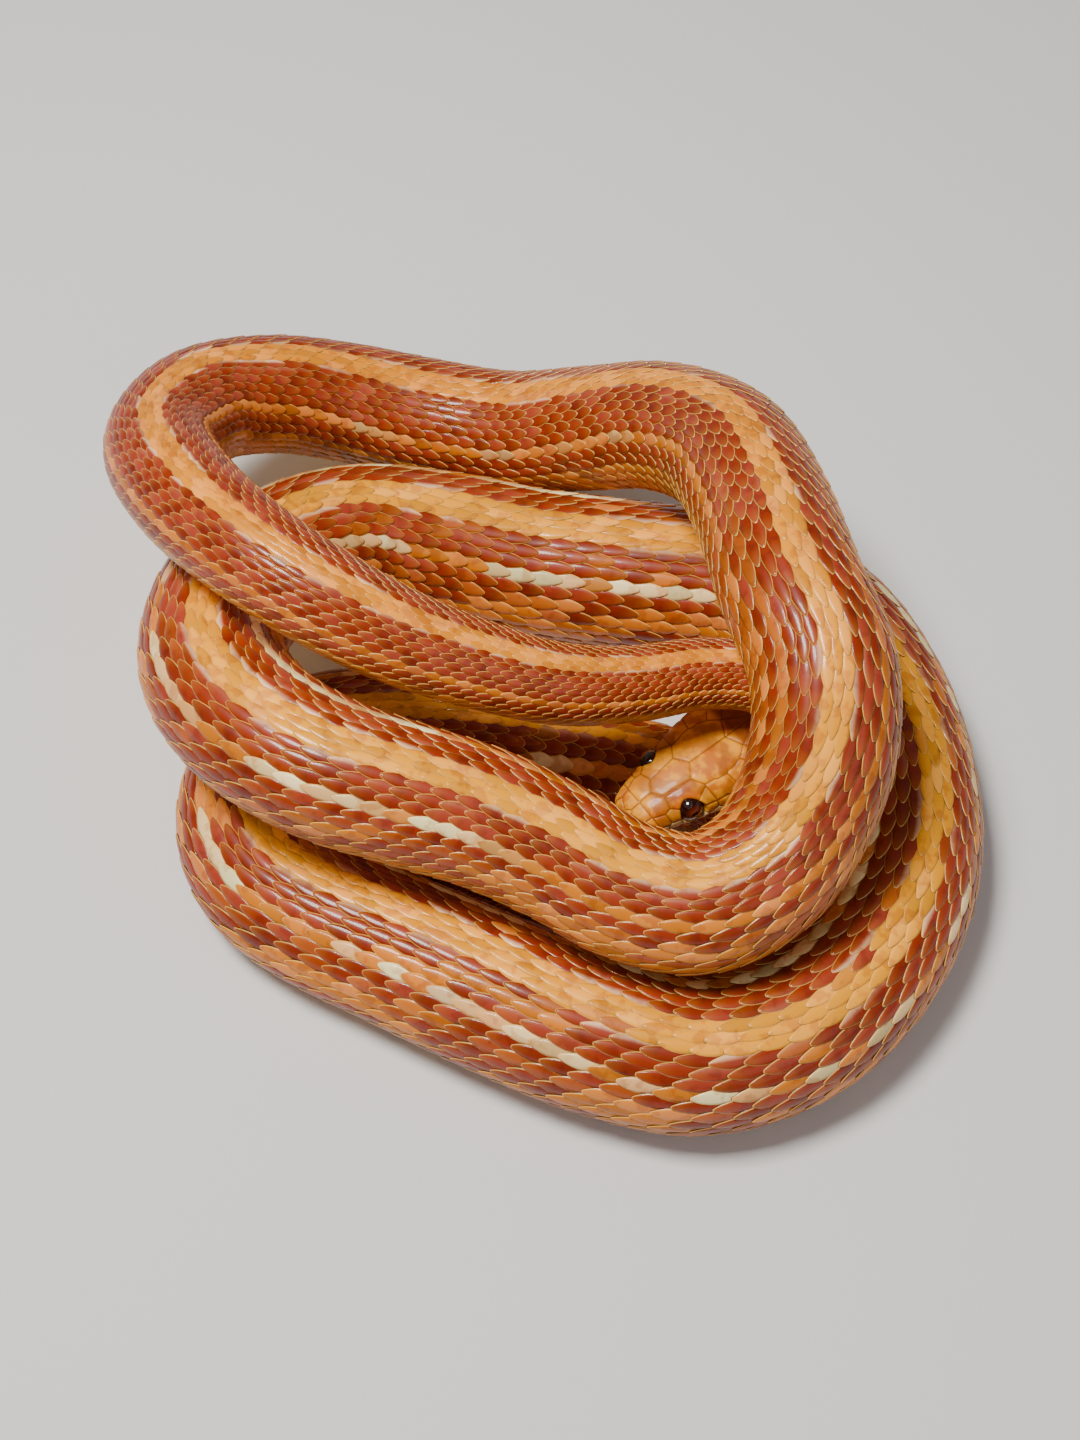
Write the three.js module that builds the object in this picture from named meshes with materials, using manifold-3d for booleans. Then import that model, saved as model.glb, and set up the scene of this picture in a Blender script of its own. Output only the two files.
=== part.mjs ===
// A corn snake at rest in a loose pile of loops, life size, in millimetres, +Z up, the floor at z = 0.
// The body is one tube swept along its route from the nape to the tail tip and parted by thin cuts.
// The head is lofted along its own axis, with its lower jaw, eyes, nostrils and head shields.
import * as THREE from "three";
import { mergeVertices } from "three/addons/utils/BufferGeometryUtils.js";
import Module from "manifold-3d";

const wasm = await Module();
wasm.setup();

// Driving sizes
const GAP = 0.3; // between pieces that meet
const BELLY_DEPTH = 0.86; // from the body's middle to the flat belly, in half widths
const BACK_HEIGHT = 0.96; // from the body's middle to the back, in half widths
const BELLY_FLAT = 0.58; // half of the flat belly, in half widths
const FLANK_LOW = [0.84, -0.62]; // where the flank turns under, in half widths
const BACK_SWEEP = 112; // degrees that the round back covers on each side of the spine
const BACK_STEPS = 10; // faces across the round back
const RING_STEP = 4.4;
const NECK_RING_STEP = 2.6;
const NECK_LENGTH = 62;

// Half width of the body by distance behind the nape: a slim neck, a thick middle and a tapered tail
const GIRTH = [
  [0, 5.9],
  [9, 5.25],
  [34, 5.25],
  [48, 5.6],
  [62, 6.0],
  [100, 7.4],
  [135, 8.5],
  [165, 9.4],
  [205, 10.1],
  [320, 10.4],
  [345, 10.0],
  [375, 9.8],
  [405, 10.3],
  [440, 11.0],
  [515, 12.5],
  [600, 12.1],
  [680, 11.8],
  [740, 10.9],
  [785, 9.9],
  [806, 8.7],
  [830, 7],
  [860, 5.3],
  [885, 3.6],
  [905, 2.1],
  [925, 0.8],
];

// The middle of the body, from the nape to the tail tip. A point with no height lies on the floor.
const ROUTE = {
  neck_loop: [
    [35, -4.7, 19.9],
    [37.4, -3, 20.2],
    [41.2, -1.7, 22.7],
    [44.2, -3.2, 26.3],
    [43.5, -6.4, 30.2],
    [39.5, -7.7, 32.6],
    [31, -4.6, 33.2],
  ],
  fore_body_over_the_pile: [
    [23.2, -4.6, 33.6],
    [14.5, -7, 35],
    [3, -9.5, 39],
    [-8.5, -9, 43.5],
    [-20, -7, 48],
    [-31, -2.5, 51.5],
    [-42, 5.5, 52],
    [-52.5, 18.5, 47],
  ],
  far_left_bend: [
    [-58.5, 33.5, 39.5],
    [-54.5, 47.5, 32],
    [-44, 55.5, 25],
  ],
  far_side: [
    [-32.5, 58.5, 19],
    [-19, 57.7, 15.6],
    [-5, 54.6, 16],
    [8.5, 50.4, 22.4],
    [19.5, 44, 31],
  ],
  right_side_over_the_neck: [
    [28.6, 32.5, 39.5],
    [33, 16, 46],
    [35.6, 0, 50],
    [39.5, -12, 48],
    [39.7, -21.5, 43],
  ],
  inner_loop: [
    [37, -29, 36.5],
    [31.6, -36, 32.2],
    [22.8, -40, 29.8],
    [12, -37.8, 29.6],
    [2.5, -32.6, 31],
    [-8.5, -28, 33],
    [-20, -24.8, 34.5],
    [-31.5, -21, 35.5],
  ],
  near_left_bend: [
    [-42.5, -13, 34.5],
    [-49, -1, 31],
    [-48, 12.5, 27.5],
    [-40, 24.5, 22.5],
  ],
  middle_of_the_pile: [
    [-29, 31.8, 17],
    [-15, 33, 12.8],
    [0, 30.7],
    [16.5, 28.4],
    [33, 25.8],
  ],
  outer_loop: [
    [45.6, 18.4],
    [53, 5],
    [56, -10],
    [55, -25],
    [48.5, -39],
    [37.5, -50],
    [23, -54.8],
    [9, -52],
    [-6, -45.8],
    [-21, -38.6],
  ],
  low_left_bend: [
    [-34.5, -31.8],
    [-41, -26.8],
    [-44.8, -20],
    [-45.3, -11.6],
    [-41, -4.4],
    [-32.8, -1],
  ],
  under_the_head: [
    [-22, -0.4],
    [-11, -1.8],
    [3, -4.2],
    [16.5, -6.5],
    [26.8, -9.2],
  ],
  tail: [
    [33.9, -16],
    [35.6, -24.2],
    [31, -31.5],
    [22, -33.8],
    [12, -31],
    [2, -27.6],
    [-9, -24.5],
    [-20, -20],
    [-31, -17.8],
  ],
};

// Where the body is parted, by distance behind the nape, each length with its node's name
const LENGTHS = [
  ["neck", NECK_LENGTH],
  ["body_1_fore", 122],
  ["body_2_far_left_bend", 186],
  ["body_3_far_side", 246],
  ["body_4_right_corner", 300],
  ["body_5_right_side", 346],
  ["body_6_inner_loop", 398],
  ["body_7_near_side", 446],
  ["body_8_near_left_bend", 500],
  ["body_9_middle", 560],
  ["body_10_outer_right", 615],
  ["body_11_outer_corner", 668],
  ["body_12_outer_near", 722],
  ["body_13_low_left_bend", 768],
  ["body_14_rump", 806],
  ["tail_base", 862],
  ["tail_tip", Infinity],
];

// Colours from the living animal
const finish = (color, roughness) =>
  new THREE.MeshStandardMaterial({ color, roughness, metalness: 0 });
const SKIN = finish(0xc4571c, 0.42);
const HEAD_SKIN = finish(0xd88a35, 0.4);
const EYE = finish(0x35100a, 0.08);

// Straight-line reading of a table of [place, value] rows
function along(table, place) {
  const last = table.length - 1;
  const at = table.findIndex(([p]) => p >= place);
  if (at === 0) return table[0][1];
  if (at < 0) return table[last][1];
  const [p0, v0] = table[at - 1];
  const [p1, v1] = table[at];
  const t = (place - p0) / (p1 - p0);
  const ease = t * t * (3 - 2 * t) * 0.35 + t * 0.65;
  return v0 + (v1 - v0) * ease;
}

// The route as a smooth curve whose floor stretches keep the belly on the floor
function makeSpine() {
  const rows = Object.values(ROUTE).flat();
  const lifted = rows.map(([x, y, z]) => new THREE.Vector3(x, y, z ?? 0));
  const rough = new THREE.CatmullRomCurve3(lifted, false, "centripetal");
  rough.arcLengthDivisions = 4000;
  const lengths = rough.getLengths(4000);
  const points = rows.map(([x, y, z], i) => {
    const s = lengths[Math.round((4000 * i) / (rows.length - 1))];
    return new THREE.Vector3(x, y, z ?? BELLY_DEPTH * along(GIRTH, s));
  });
  const curve = new THREE.CatmullRomCurve3(points, false, "centripetal");
  curve.arcLengthDivisions = 4000;
  return curve;
}

const spine = makeSpine();
const SPINE_LENGTH = spine.getLength();
const UP = new THREE.Vector3(0, 0, 1);

// The first route point with no height is where the body comes down to the floor for good.
const floorRow = Object.values(ROUTE).flat().findIndex((row) => row.length === 2);
const rowCount = Object.values(ROUTE).flat().length;
const FLOOR_FROM = spine.getLengths(4000)[Math.round((4000 * floorRow) / (rowCount - 1))];

// Place, direction and side of the body at a distance behind the nape
function spineFrame(s) {
  const u = Math.min(1, Math.max(0, s / SPINE_LENGTH));
  const origin = spine.getPointAt(u);
  const ahead = spine.getTangentAt(u);
  const half = along(GIRTH, s);
  if (s >= FLOOR_FROM) {
    origin.z = BELLY_DEPTH * half;
    ahead.z = 0;
    ahead.normalize();
  }
  const side = new THREE.Vector3().crossVectors(ahead, UP).normalize();
  const back = new THREE.Vector3().crossVectors(side, ahead).normalize();
  return { origin, ahead, side, back, half };
}

// The body's outline in half widths, starting at the middle of the belly: [sideways, upwards]
function bodyOutline() {
  const points = [[0, -BELLY_DEPTH], [BELLY_FLAT, -BELLY_DEPTH], FLANK_LOW];
  for (let i = 0; i <= BACK_STEPS; i++) {
    const angle = THREE.MathUtils.degToRad(BACK_SWEEP - (2 * BACK_SWEEP * i) / BACK_STEPS);
    points.push([Math.sin(angle), BACK_HEIGHT * Math.cos(angle)]);
  }
  points.push([-FLANK_LOW[0], FLANK_LOW[1]], [-BELLY_FLAT, -BELLY_DEPTH]);
  return points;
}

// Joins rings of points into one closed geometry with a point in the middle of each end
function loft(rings) {
  const around = rings[0].length;
  const middle = (ring) =>
    ring.reduce((sum, p) => sum.add(p), new THREE.Vector3()).divideScalar(around);
  const vertices = [...rings.flat(), middle(rings[0]), middle(rings[rings.length - 1])];
  const faces = [];
  const first = vertices.length - 2;
  const last = vertices.length - 1;
  const tail = (rings.length - 1) * around;
  for (let j = 0; j < around; j++) {
    const k = (j + 1) % around;
    for (let i = 0; i < rings.length - 1; i++) {
      const a = i * around;
      const b = a + around;
      faces.push(a + j, b + j, b + k, a + j, b + k, a + k);
    }
    faces.push(first, j, k, last, tail + k, tail + j);
  }
  const geometry = new THREE.BufferGeometry();
  const flat = vertices.flatMap((p) => [p.x, p.y, p.z]);
  geometry.setAttribute("position", new THREE.Float32BufferAttribute(flat, 3));
  geometry.setIndex(faces);
  return geometry;
}

// One length of the body between two distances behind the nape
function bodyLength(from, to) {
  const outline = bodyOutline();
  const step = to <= NECK_LENGTH ? NECK_RING_STEP : RING_STEP;
  const count = Math.max(2, Math.round((to - from) / step));
  const rings = [];
  for (let i = 0; i <= count; i++) {
    const { origin, side, back, half } = spineFrame(from + ((to - from) * i) / count);
    rings.push(
      outline.map(([x, y]) =>
        origin.clone().addScaledVector(side, x * half).addScaledVector(back, y * half),
      ),
    );
  }
  return loft(rings);
}

// Closed three.js geometry to a solid and back
function toSolid(geometry) {
  const bare = geometry.clone();
  for (const name of Object.keys(bare.attributes)) {
    if (name !== "position") bare.deleteAttribute(name);
  }
  const merged = mergeVertices(bare, 1e-4);
  return new wasm.Manifold(
    new wasm.Mesh({
      numProp: 3,
      vertProperties: new Float32Array(merged.attributes.position.array),
      triVerts: new Uint32Array(merged.index.array),
    }),
  );
}

function toGeometry(solid) {
  const pieces = solid.decompose();
  const largest = pieces.reduce((a, b) => (a.volume() > b.volume() ? a : b));
  const mesh = largest.getMesh();
  const geometry = new THREE.BufferGeometry();
  geometry.setAttribute("position", new THREE.Float32BufferAttribute(mesh.vertProperties, 3));
  geometry.setIndex(new THREE.Uint32BufferAttribute(mesh.triVerts, 1));
  geometry.computeVertexNormals();
  return geometry;
}

// The head's own frame: +X from the snout's tip to the nape, +Y to the animal's right, +Z up.
const HEAD_LENGTH = 27.4;
const HEAD_AROUND = 28;
const SHIELD_RISE = 0.22; // how far the shields stand out
const SHIELD_SEAM = 0.34; // between neighbouring shields
// Behind the snout's tip: half width, height above and depth below the middle line
const HEAD_SHAPE = [
  [0.0, 1.8, 0.5, 1.05],
  [0.5, 3.0, 1.4, 1.75],
  [1.45, 3.95, 2.1, 2.15],
  [3.3, 4.65, 2.85, 2.5],
  [6.0, 5.25, 3.45, 2.9],
  [8.9, 6.05, 4.05, 3.2],
  [11.9, 6.85, 4.45, 3.5],
  [15.4, 7.8, 4.7, 3.85],
  [19.0, 8.3, 4.75, 4.1],
  [22.1, 7.9, 4.8, 4.3],
  [25.2, 6.8, 5.05, 4.6],
  [27.4, 5.95, 5.35, 4.95],
];
const MOUTH = { tip: -0.75, bow: 0.45, corner: 19.2, cornerRise: 0.5 };
const EYE_SPOT = { back: 8.9, out: 4.6, up: 1.35, radius: 2.0, socket: 2.3 };
const NOSTRIL = { back: 1.95, out: 3.8, up: 0.75, radius: 0.48 };

function headSize(back, column) {
  const at = HEAD_SHAPE.findIndex(([p]) => p >= back);
  const i = at < 0 ? HEAD_SHAPE.length - 1 : Math.max(1, at);
  const a = HEAD_SHAPE[i - 1];
  const b = HEAD_SHAPE[i];
  const t = Math.min(1, Math.max(0, (back - a[0]) / (b[0] - a[0])));
  return a[column] + (b[column] - a[column]) * t;
}

// One ring of the head: a flat crown, full cheeks and a shallow chin
function headRing(back, swell) {
  const half = headSize(back, 1) + swell;
  const crown = headSize(back, 2) + swell;
  const chin = headSize(back, 3) + swell;
  const ring = [];
  for (let i = 0; i < HEAD_AROUND; i++) {
    const angle = (-2 * Math.PI * i) / HEAD_AROUND;
    const c = Math.cos(angle);
    const s = Math.sin(angle);
    const squareness = s > 0 ? 0.72 : 0.86;
    const y = half * Math.sign(c) * Math.abs(c) ** squareness;
    const z = (s > 0 ? crown : chin) * Math.sign(s) * Math.abs(s) ** 0.86;
    ring.push(new THREE.Vector3(back, y, z));
  }
  return ring;
}

function headForm(swell) {
  const stations = HEAD_SHAPE.map(([back]) => back);
  const rings = [];
  stations.forEach((back, i) => {
    const next = stations[i + 1];
    rings.push(headRing(back - (i === 0 ? swell : 0), swell));
    if (next !== undefined && next - back > 2) rings.push(headRing((back + next) / 2, swell));
  });
  return toSolid(loft(rings));
}

// A flat outline in the head's plan or side view, pushed right through the head
function prism(points, view) {
  const shape = new THREE.Shape(points.map(([x, y]) => new THREE.Vector2(x, y)));
  const depth = view === "side" ? 18 : 9;
  const geometry = new THREE.ExtrudeGeometry(shape, { depth, bevelEnabled: false });
  if (view === "side") {
    geometry.rotateX(Math.PI / 2);
    geometry.translate(0, depth / 2, 0);
  }
  return toSolid(geometry);
}

// Shrinks a convex outline towards its middle, so that neighbours keep a seam
function drawnIn(points, by) {
  const cx = points.reduce((sum, p) => sum + p[0], 0) / points.length;
  const cy = points.reduce((sum, p) => sum + p[1], 0) / points.length;
  return points.map(([x, y]) => {
    const reach = Math.hypot(x - cx, y - cy);
    const k = Math.max(0, reach - by) / reach;
    return [cx + (x - cx) * k, cy + (y - cy) * k];
  });
}

const mirrored = (points) => points.map(([x, y]) => [x, -y]).reverse();

// Crown shields by their outlines in plan: back from the snout's tip, out from the middle line
const CROWN_SHIELDS = {
  internasal: [[0.7, 0], [3.0, 0], [3.4, 2.6], [2.0, 3.5], [0.9, 2.3]],
  prefrontal: [[3.0, 0], [6.4, 0], [7.1, 2.3], [6.5, 4.1], [4.3, 4.3], [3.4, 2.6]],
  supraocular: [[7.1, 2.3], [11.5, 2.5], [11.9, 4.2], [9.5, 5.4], [6.5, 4.1]],
  parietal: [[12.8, 0], [21.0, 0.3], [21.5, 3.2], [18.1, 5.7], [13.6, 5.7], [11.9, 4.2], [11.5, 2.5]],
};
const FRONTAL = [[6.4, 0], [7.1, -2.3], [11.5, -2.5], [12.8, 0], [11.5, 2.5], [7.1, 2.3]];

function crownShields(skin) {
  const outlines = [FRONTAL];
  for (const half of Object.values(CROWN_SHIELDS)) outlines.push(half, mirrored(half));
  return outlines.map((points) => prism(drawnIn(points, SHIELD_SEAM), "plan").intersect(skin));
}

const mouthHeight = (back) => {
  const t = Math.min(1, Math.max(0, back / MOUTH.corner));
  return MOUTH.tip - MOUTH.bow * Math.sin(Math.PI * t) + MOUTH.cornerRise * t * t;
};

// Lip shields stand in a row above and below the mouth line on both sides at once
const LIP = { from: 1.6, to: 19.0, count: 7, upperHeight: 1.75, lowerHeight: 1.3, lift: 0.16 };

function lipShields(skin, above) {
  const pitch = (LIP.to - LIP.from) / LIP.count;
  const height = above ? LIP.upperHeight : -LIP.lowerHeight;
  const lift = above ? LIP.lift : -LIP.lift;
  const plates = [];
  for (let i = 0; i < LIP.count; i++) {
    const a = LIP.from + pitch * i;
    const b = a + pitch - SHIELD_SEAM;
    const outline = [
      [a, mouthHeight(a) + lift],
      [b, mouthHeight(b) + lift],
      [b, mouthHeight(b) + height],
      [a, mouthHeight(a) + height],
    ];
    plates.push(prism(above ? outline : outline.reverse(), "side").intersect(skin));
  }
  return plates;
}

// Everything under the mouth line as far back as its corner
function belowMouth(drop) {
  const line = [];
  for (let back = -1; back <= MOUTH.corner; back += 1.4) {
    line.push([back, mouthHeight(back) - drop]);
  }
  const corner = MOUTH.corner - drop;
  line.push([corner, mouthHeight(corner) - drop], [corner + 0.6 - drop, -9], [-1, -9]);
  return prism(line.reverse(), "side");
}

function ball({ back, out, up }, radius, sign) {
  const sphere = new THREE.SphereGeometry(radius, 20, 14);
  sphere.translate(back, out * sign, up);
  return toSolid(sphere);
}

function headParts() {
  const skin = headForm(SHIELD_RISE);
  const jawSkin = headForm(SHIELD_RISE * 0.8);
  let whole = headForm(0);
  for (const plate of crownShields(skin)) whole = whole.add(plate);
  for (const plate of lipShields(jawSkin, true)) whole = whole.add(plate);
  for (const plate of lipShields(jawSkin, false)) whole = whole.add(plate);
  let cranium = whole.subtract(belowMouth(0));
  const jaw = whole.intersect(belowMouth(GAP));
  for (const sign of [1, -1]) {
    cranium = cranium.subtract(ball(EYE_SPOT, EYE_SPOT.socket, sign));
    cranium = cranium.subtract(ball(NOSTRIL, NOSTRIL.radius, sign));
  }
  return { cranium, jaw };
}

function addMesh(parent, name, geometry, material) {
  const mesh = new THREE.Mesh(geometry, material);
  mesh.name = name;
  parent.add(mesh);
}

// The nape end of the head meets the start of the body.
function makeHead() {
  const head = new THREE.Group();
  const { cranium, jaw } = headParts();
  addMesh(head, "head", toGeometry(cranium), HEAD_SKIN);
  addMesh(head, "lower_jaw", toGeometry(jaw), HEAD_SKIN);
  for (const [name, sign] of [["eye_right", 1], ["eye_left", -1]]) {
    addMesh(head, name, toGeometry(ball(EYE_SPOT, EYE_SPOT.radius, sign)), EYE);
  }
  const { origin, ahead, side, back } = spineFrame(0);
  head.setRotationFromMatrix(new THREE.Matrix4().makeBasis(ahead, side.negate(), back));
  head.position.copy(origin).addScaledVector(ahead, -HEAD_LENGTH - GAP);
  return head;
}

function makeSnake() {
  const snake = new THREE.Group();
  snake.add(makeHead());
  let from = 0;
  for (const [name, end] of LENGTHS) {
    const to = Math.min(end, SPINE_LENGTH);
    addMesh(snake, name, bodyLength(from + GAP / 2, to - GAP / 2), SKIN);
    from = to;
  }
  // The origin is on the floor under the middle of the pile.
  const middle = new THREE.Box3().setFromObject(snake).getCenter(new THREE.Vector3());
  snake.position.set(-middle.x, -middle.y, 0);
  return snake;
}

export default makeSnake();
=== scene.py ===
"""A corn snake resting in a loose pile of loops: skin, scales, head shields and eyes over its solids."""
import math

import bmesh
import bpy
import numpy as np
from mathutils import Matrix, Vector


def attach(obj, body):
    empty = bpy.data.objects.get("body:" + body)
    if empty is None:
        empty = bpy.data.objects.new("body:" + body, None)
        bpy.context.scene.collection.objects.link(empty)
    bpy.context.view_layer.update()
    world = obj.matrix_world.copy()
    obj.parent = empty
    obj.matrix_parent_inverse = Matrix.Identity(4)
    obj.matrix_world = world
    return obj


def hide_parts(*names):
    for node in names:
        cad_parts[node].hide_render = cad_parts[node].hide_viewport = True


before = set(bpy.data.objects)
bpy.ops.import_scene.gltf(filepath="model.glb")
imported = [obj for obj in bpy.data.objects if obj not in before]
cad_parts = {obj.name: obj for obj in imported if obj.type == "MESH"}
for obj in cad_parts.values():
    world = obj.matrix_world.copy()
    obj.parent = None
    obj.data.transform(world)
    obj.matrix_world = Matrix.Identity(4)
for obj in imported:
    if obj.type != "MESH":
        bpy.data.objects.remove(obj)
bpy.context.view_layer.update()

MM = 0.001

# The solids' own sizes, in millimetres
SHIFT = np.array([-0.394, -0.981, 0.0])
BELLY_DEPTH = 0.86
BACK_HEIGHT = 0.96
BELLY_FLAT = 0.58
FLANK_LOW = (0.84, -0.62)
BACK_SWEEP = 112
HEAD_LENGTH = 27.7  # from the snout's tip to where the body's route starts

GIRTH = [
    (0, 5.9), (9, 5.25), (34, 5.25), (48, 5.6), (62, 6.0), (100, 7.4), (135, 8.5), (165, 9.4),
    (205, 10.1), (320, 10.4), (345, 10.0), (375, 9.8), (405, 10.3), (440, 11.0), (515, 12.5),
    (600, 12.1), (680, 11.8), (740, 10.9), (785, 9.9), (806, 8.7), (830, 7), (860, 5.3),
    (885, 3.6), (905, 2.1), (925, 0.8),
]

GIRTH_EASE = 0.35  # how far the girth eases between its stations, where 0 is straight

# The middle of the body from the nape to the tail tip. A point with no height lies on the floor.
ROUTE = [
    # neck loop
    (35, -4.7, 19.9), (37.4, -3, 20.2), (41.2, -1.7, 22.7), (44.2, -3.2, 26.3), (43.5, -6.4, 30.2),
    (39.5, -7.7, 32.6), (31, -4.6, 33.2),
    # fore body over the pile
    (23.2, -4.6, 33.6), (14.5, -7, 35), (3, -9.5, 39), (-8.5, -9, 43.5), (-20, -7, 48),
    (-31, -2.5, 51.5), (-42, 5.5, 52), (-52.5, 18.5, 47),
    # far left bend
    (-58.5, 33.5, 39.5), (-54.5, 47.5, 32), (-44, 55.5, 25),
    # far side
    (-32.5, 58.5, 19), (-19, 57.7, 15.6), (-5, 54.6, 16), (8.5, 50.4, 22.4), (19.5, 44, 31),
    # right side over the neck
    (28.6, 32.5, 39.5), (33, 16, 46), (35.6, 0, 50), (39.5, -12, 48), (39.7, -21.5, 43),
    # inner loop
    (37, -29, 36.5), (31.6, -36, 32.2), (22.8, -40, 29.8), (12, -37.8, 29.6), (2.5, -32.6, 31),
    (-8.5, -28, 33), (-20, -24.8, 34.5), (-31.5, -21, 35.5),
    # near left bend
    (-42.5, -13, 34.5), (-49, -1, 31), (-48, 12.5, 27.5), (-40, 24.5, 22.5),
    # middle of the pile
    (-29, 31.8, 17), (-15, 33, 12.8), (0, 30.7), (16.5, 28.4), (33, 25.8),
    # outer loop
    (45.6, 18.4), (53, 5), (56, -10), (55, -25), (48.5, -39), (37.5, -50), (23, -54.8), (9, -52),
    (-6, -45.8), (-21, -38.6),
    # low left bend
    (-34.5, -31.8), (-41, -26.8), (-44.8, -20), (-45.3, -11.6), (-41, -4.4), (-32.8, -1),
    # under the head
    (-22, -0.4), (-11, -1.8), (3, -4.2), (16.5, -6.5), (26.8, -9.2),
    # tail
    (33.9, -16), (35.6, -24.2), (31, -31.5), (22, -33.8), (12, -31), (2, -27.6), (-9, -24.5),
    (-20, -20), (-31, -17.8),
]

# Behind the snout's tip: half width, height above and depth below the middle line
HEAD_SHAPE = np.array([
    (0.0, 3.0, 1.3, 1.65), (0.5, 3.35, 1.55, 1.85), (1.45, 3.95, 2.1, 2.15), (3.3, 4.65, 2.85, 2.5),
    (6.0, 5.25, 3.45, 2.9), (8.9, 6.05, 4.05, 3.2), (11.9, 6.85, 4.45, 3.5), (15.4, 7.8, 4.7, 3.85),
    (19.0, 8.3, 4.75, 4.1), (22.1, 7.9, 4.8, 4.3), (25.2, 6.8, 5.05, 4.6), (27.4, 5.95, 5.35, 4.95),
    (33.0, 5.7, 5.5, 5.0),
])
SNOUT_ROUND = 1.5
EYE = {"back": 8.9, "out": 4.6, "up": 1.35, "radius": 2.0}
NOSTRIL = {"back": 1.95, "up": 0.75, "radius": 0.42}
MOUTH = {"tip": -0.75, "bow": 0.45, "corner": 19.2, "rise": 0.5}

# Scales
ROWS = 27
TAIL_ROWS = 17
VENT_AT = 792
PITCH = 0.345  # between scales along a row, in half widths
ROW_NARROW = 0.8  # the middle rows' width beside the mean row's
EDGE_T = 0.756  # where the belly plates begin, as a share of the way from spine to mid belly
SKIN_IN = 0.2  # the skin lies this far inside the outline


def smooth(x, a, b):
    """0 before a, 1 after b, with an easy rise between."""
    t = np.clip((np.asarray(x, float) - a) / (b - a), 0, 1)
    return t * t * (3 - 2 * t)


def girth(s):
    """Half width of the body at a distance behind the nape."""
    places = np.array([p for p, _ in GIRTH], float)
    values = np.array([v for _, v in GIRTH], float)
    at = np.clip(np.searchsorted(places, s, side="left"), 1, len(places) - 1)
    t = np.clip((s - places[at - 1]) / (places[at] - places[at - 1]), 0, 1)
    ease = t * t * (3 - 2 * t) * GIRTH_EASE + t * (1 - GIRTH_EASE)
    return values[at - 1] + (values[at] - values[at - 1]) * ease


def through(points, steps):
    """A centripetal curve through the points, with steps samples to each stretch."""
    ends = np.vstack([2 * points[0] - points[1], points, 2 * points[-1] - points[-2]])
    out = []
    for i in range(1, len(ends) - 2):
        p = ends[i - 1 : i + 3]
        knots = np.concatenate([[0], np.cumsum(np.linalg.norm(np.diff(p, axis=0), axis=1) ** 0.5)])
        t = np.linspace(knots[1], knots[2], steps, endpoint=False)[:, None]

        def mix(a, b, j, k):
            return ((knots[k] - t) * a + (t - knots[j]) * b) / (knots[k] - knots[j])

        a1, a2, a3 = mix(p[0], p[1], 0, 1), mix(p[1], p[2], 1, 2), mix(p[2], p[3], 2, 3)
        b1, b2 = mix(a1, a2, 0, 2), mix(a2, a3, 1, 3)
        out.append(mix(b1, b2, 1, 2))
    out.append(points[-1:])
    return np.vstack(out)


def lengths(line):
    """How far along a line each of its points lies."""
    return np.concatenate([[0], np.cumsum(np.linalg.norm(np.diff(line, axis=0), axis=1))])


# The spine: its place and directions every half millimetre, from the snout's tip to the tail's tip
SAMPLES = 32
rough = through(np.array([(p + (0,))[:3] for p in ROUTE], float), SAMPLES)
row_at = lengths(rough)[::SAMPLES]
rows = np.array([
    p if len(p) == 3 else (*p, BELLY_DEPTH * girth(row_at[i])) for i, p in enumerate(ROUTE)
])
line = through(rows, SAMPLES)
line_at = lengths(line)
BODY_LENGTH = line_at[-1]
floor_row = next(i for i, p in enumerate(ROUTE) if len(p) == 2)
FLOOR_FROM = line_at[floor_row * SAMPLES]

STEP = 0.5
STRAIGHT_TO = 0.6  # up to here behind the nape the body keeps the head's direction
TURN_EASINGS = 6
S = np.arange(-HEAD_LENGTH, BODY_LENGTH + STEP, STEP)
S[-1] = BODY_LENGTH
on_body = np.clip(S, 0, BODY_LENGTH)
centre = np.stack([np.interp(on_body, line_at, line[:, k]) for k in range(3)], 1)
ahead = np.gradient(centre, axis=0)
nose = int(np.searchsorted(S, STRAIGHT_TO))
start = line[3] - line[0]
ahead[: nose + 1] = start
laid = S >= FLOOR_FROM
ahead[laid, 2] = 0
ahead /= np.linalg.norm(ahead, axis=1)[:, None]
for _ in range(TURN_EASINGS):
    ahead[1:-1] = (ahead[:-2] + 2 * ahead[1:-1] + ahead[2:]) / 4
ahead[: nose + 1] = start / np.linalg.norm(start)
ahead /= np.linalg.norm(ahead, axis=1)[:, None]
half = girth(on_body)
centre[laid, 2] = BELLY_DEPTH * half[laid]
centre += ahead[0] * np.minimum(S, 0)[:, None]
side = np.cross(ahead, (0, 0, 1))
side /= np.linalg.norm(side, axis=1)[:, None]
back = np.cross(side, ahead)


def evenly(points, count):
    """The same line with its points spread evenly along it."""
    at = lengths(points)
    even = np.linspace(0, at[-1], count)
    return np.stack([np.interp(even, at, points[:, k]) for k in range(points.shape[1])], 1)


# One side of the section from the spine to mid belly: [sideways, upwards] at even steps
AROUND = 97
ARC_POINTS = 20
CORNER_CUTS = 3
NAPE_BLEND = (-5, 3)  # where the head's section turns into the body's
CROWN_SQUARE, JAW_SQUARE, HEAD_ROUND = 0.72, 0.86, 0.86
EASE_HALF = 8  # tenths of a millimetre to each side over which the head's sizes are eased
HEAD_TENTHS = 331  # places at which they are eased, a tenth of a millimetre apart
TIP_BLUNT = 0.8


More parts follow.
